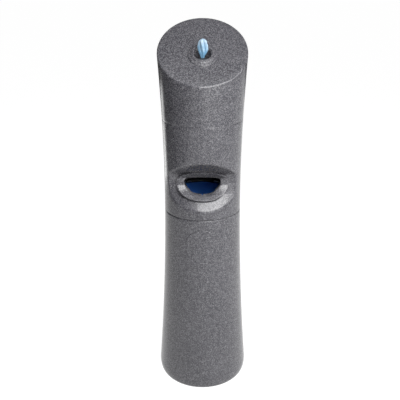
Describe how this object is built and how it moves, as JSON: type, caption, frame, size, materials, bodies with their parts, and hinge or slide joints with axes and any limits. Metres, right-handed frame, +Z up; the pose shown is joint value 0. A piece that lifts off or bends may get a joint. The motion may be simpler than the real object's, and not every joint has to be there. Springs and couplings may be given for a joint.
{
  "type": "floor-standing wipes dispenser",
  "caption": "Slim floor-standing tower that dispenses wipes from a collared hole in its slanted lid and takes used ones in a mouth at its waist.",
  "frame": {"origin": "centre of the base, on the floor under the rubber feet", "axes": "+Z up along the column, the mouth and the low side of the slanted lid face -Y"},
  "size_m": [0.2594, 0.2594, 1.02],
  "materials": {
    "granite_plastic": "rotationally moulded grey plastic with fine light and dark granite flecks, semi-gloss",
    "bin_plastic": "smooth deep blue plastic",
    "black_plastic": "fine satin black plastic",
    "tub_plastic": "smooth white plastic",
    "cradle_plastic": "light grey moulded plastic",
    "wipe_cloth": "moist light-blue non-woven cloth",
    "foot_rubber": "matt black rubber",
    "ballast_iron": "rough cast iron",
    "zinc_steel": "zinc-plated steel",
    "lock_chrome": "bright chrome"
  },
  "bodies": {
    "base": {"lower_body": "granite_plastic", "ballast_weight": "ballast_iron", "ballast_bolts": "zinc_steel", "rubber_feet": "foot_rubber"},
    "bin": {"waste_bin": "bin_plastic"},
    "handle": {"bin_bail": "zinc_steel", "bail_grip": "black_plastic"},
    "head": {"head_shell": "granite_plastic", "mouth_collar": "granite_plastic", "collar_screws": "zinc_steel", "tub_cradle": "cradle_plastic", "lock_catch": "zinc_steel", "catch_rivets": "zinc_steel"},
    "tub": {"wipes_tub": "tub_plastic", "wipes_roll": "wipe_cloth"},
    "cap": {"tub_cap": "black_plastic", "cap_nozzle": "black_plastic"},
    "lid": {"lid_shell": "granite_plastic", "outlet_nozzle": "black_plastic", "nozzle_ring": "black_plastic", "lock_barrel": "lock_chrome", "lock_nut": "zinc_steel", "wipe_tail": "wipe_cloth"},
    "lock": {"key_plug": "lock_chrome", "lock_cam": "zinc_steel", "cam_screw": "zinc_steel"}
  },
  "joints": [
    {"name": "head_lift", "type": "slide", "parent": "base", "child": "head", "axis": [0, 0, 1], "range_m": [0, 0.6]},
    {"name": "bin_lift", "type": "slide", "parent": "base", "child": "bin", "axis": [0, 0, 1], "range_m": [0, 0.52]},
    {"name": "handle_swing", "type": "hinge", "parent": "bin", "child": "handle", "pos_m": [0, 0, 0.57505], "axis": [1, 0, 0], "range_deg": [0, 90]},
    {"name": "lid_lift", "type": "slide", "parent": "head", "child": "lid", "axis": [0, 0, 1], "range_m": [0, 0.3]},
    {"name": "tub_lift", "type": "slide", "parent": "head", "child": "tub", "axis": [0, 0, 1], "range_m": [0, 0.15]},
    {"name": "cap_turn", "type": "hinge", "parent": "tub", "child": "cap", "pos_m": [0, 0, 0.86], "axis": [0, 0, 1], "range_deg": [0, 60]},
    {"name": "lock_turn", "type": "hinge", "parent": "lid", "child": "lock", "pos_m": [0, 0.1, 0.792], "axis": [0, -1, 0], "range_deg": [0, 90]}
  ],
  "couplings": [
    {"joint": "bin_lift", "follows": "head_lift", "ratio": 0.866},
    {"joint": "tub_lift", "follows": "lid_lift", "ratio": 0.5}
  ]
}
